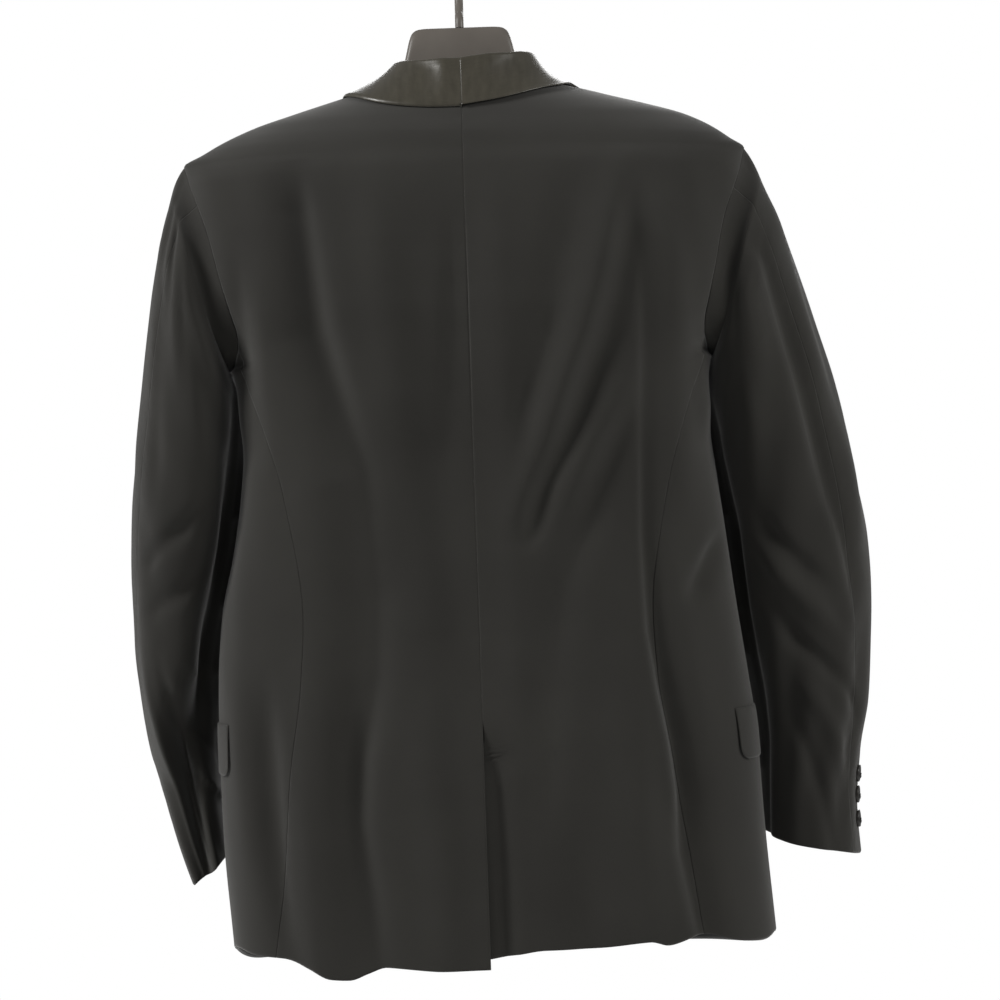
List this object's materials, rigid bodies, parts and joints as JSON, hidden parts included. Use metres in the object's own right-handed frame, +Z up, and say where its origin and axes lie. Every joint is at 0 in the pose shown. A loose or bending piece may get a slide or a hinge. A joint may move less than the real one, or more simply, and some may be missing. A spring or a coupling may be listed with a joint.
{
  "type": "tuxedo jacket on a suit hanger",
  "caption": "Men's single-breasted dinner jacket with a satin shawl collar, centre vent and set-in sleeves, hung hollow on a contoured suit hanger with a hook.",
  "frame": {"origin": "the place inside the top of the hook's loop where it bears on a rail", "axes": "+Z up, -Y towards the back of the jacket, +X towards the wearer's right sleeve"},
  "size_m": [0.6518, 0.231, 0.8735],
  "materials": {
    "wool": "fine black wool twill, matt with a faint warm sheen",
    "satin": "black satin facing, soft directional sheen",
    "button": "dark polished button plastic",
    "hanger_plastic": "smooth warm grey moulded plastic"
  },
  "bodies": {
    "root": {"back_left": "wool", "back_right": "wool", "side_left": "wool", "side_right": "wool", "front_left": "wool", "front_right": "wool", "top_sleeve_left": "wool", "under_sleeve_left": "wool", "top_sleeve_right": "wool", "under_sleeve_right": "wool", "pocket_flap_left": "wool", "pocket_flap_right": "wool", "collar_left": "satin", "collar_right": "satin", "cuff_button_left_1": "button", "cuff_button_left_2": "button", "cuff_button_left_3": "button", "cuff_button_right_1": "button", "cuff_button_right_2": "button", "cuff_button_right_3": "button", "front_button": "button", "hanger": "hanger_plastic", "hook": "hanger_plastic"}
  },
  "joints": []
}
